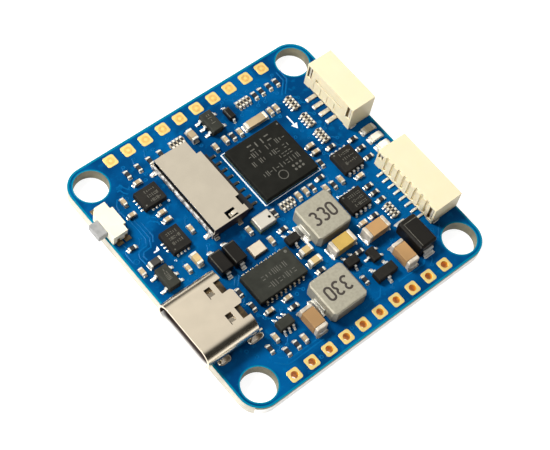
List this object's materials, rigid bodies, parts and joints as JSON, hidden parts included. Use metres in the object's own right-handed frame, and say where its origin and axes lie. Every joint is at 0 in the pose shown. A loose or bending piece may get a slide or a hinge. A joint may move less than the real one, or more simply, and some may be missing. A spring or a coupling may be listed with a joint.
{
  "type": "flight controller board",
  "caption": "Square flight controller board for a small drone: corner mounting holes, a USB socket, a card slot, two wire connectors, solder pads and a side-push boot button.",
  "frame": {"origin": "centre of the four mounting holes, on the board's underside", "axes": "+X from the USB socket's edge to the wire connectors' edge, +Y towards the row of plain edge pads, +Z out of the populated face"},
  "size_m": [0.037, 0.036, 0.0057],
  "materials": {
    "solder_mask": "blue solder mask over glass-fibre board, satin gloss",
    "gold_pads": "immersion gold plating",
    "solder": "bright solder",
    "usb_steel": "nickel plated drawn shell, champagne tint, satin",
    "black_plastic": "black connector plastic",
    "contact_gold": "gold flash on copper alloy",
    "card_steel": "satin plated steel sheet",
    "mould_compound": "black epoxy mould compound, fine matt grain",
    "laminate": "dark package laminate",
    "white_plastic": "white switch plastic",
    "tin_plate": "matt tin plate",
    "spring_steel": "stainless spring sheet",
    "button_plastic": "grey moulded plastic",
    "cream_nylon": "natural nylon, slightly translucent",
    "ferrite": "pressed alloy powder, warm grey",
    "copper_wire": "enamelled copper winding",
    "sensor_lid": "plated metal lid",
    "dark_ceramic": "dark fired ceramic",
    "resistor_film": "black glass over the resistive film",
    "chip_ends": "tinned end caps",
    "capacitor_ceramic": "tan fired ceramic",
    "led_lens": "pale clear resin over a white base"
  },
  "bodies": {
    "board": {"circuit_board": "solder_mask", "top_edge_pads": "gold_pads", "bottom_edge_pads": "gold_pads", "shell_leg_pads": "solder", "usb_shell": "usb_steel", "usb_tongue": "black_plastic", "usb_contacts": "contact_gold", "card_socket_shell": "card_steel", "card_socket_base": "black_plastic", "card_socket_contacts": "contact_gold", "processor_cap": "mould_compound", "processor_substrate": "laminate", "processor_solder_balls": "solder", "boot_switch_case": "white_plastic", "boot_switch_base": "white_plastic", "boot_switch_terminals": "tin_plate", "boot_switch_dome": "spring_steel", "eight_pin_housing": "cream_nylon", "eight_pin_contacts": "tin_plate", "eight_pin_anchors": "tin_plate", "four_pin_housing": "cream_nylon", "four_pin_contacts": "tin_plate", "four_pin_anchors": "tin_plate", "inductor_cores": "ferrite", "inductor_windings": "copper_wire", "inductor_terminals": "tin_plate", "motion_sensors": "mould_compound", "motion_sensor_pads": "solder", "pressure_sensor_base": "laminate", "pressure_sensor_lid": "sensor_lid", "crystal_base": "dark_ceramic", "crystal_lid": "sensor_lid", "display_chip": "mould_compound", "display_chip_leads": "tin_plate", "power_chips": "mould_compound", "power_chip_leads": "tin_plate", "small_regulators": "mould_compound", "small_regulator_leads": "tin_plate", "transistors": "mould_compound", "transistor_leads": "tin_plate", "diodes": "mould_compound", "diode_leads": "tin_plate", "power_diode": "mould_compound", "power_diode_leads": "tin_plate", "resistors": "resistor_film", "resistor_terminals": "chip_ends", "small_capacitors": "capacitor_ceramic", "small_capacitor_terminals": "chip_ends", "medium_capacitors": "capacitor_ceramic", "medium_capacitor_terminals": "chip_ends", "large_capacitors": "capacitor_ceramic", "large_capacitor_terminals": "chip_ends", "resistor_arrays": "resistor_film", "resistor_array_terminals": "chip_ends", "ferrite_bead": "dark_ceramic", "ferrite_bead_terminals": "chip_ends", "status_leds": "led_lens", "status_led_terminals": "chip_ends"},
    "button": {"boot_button": "button_plastic"}
  },
  "joints": [
    {"name": "boot_button_slide", "type": "slide", "parent": "board", "child": "button", "axis": [1, 0, 0], "range_m": [0, 0.00025], "stiffness_N_per_m": 2000, "springref_m": -0.0003}
  ]
}
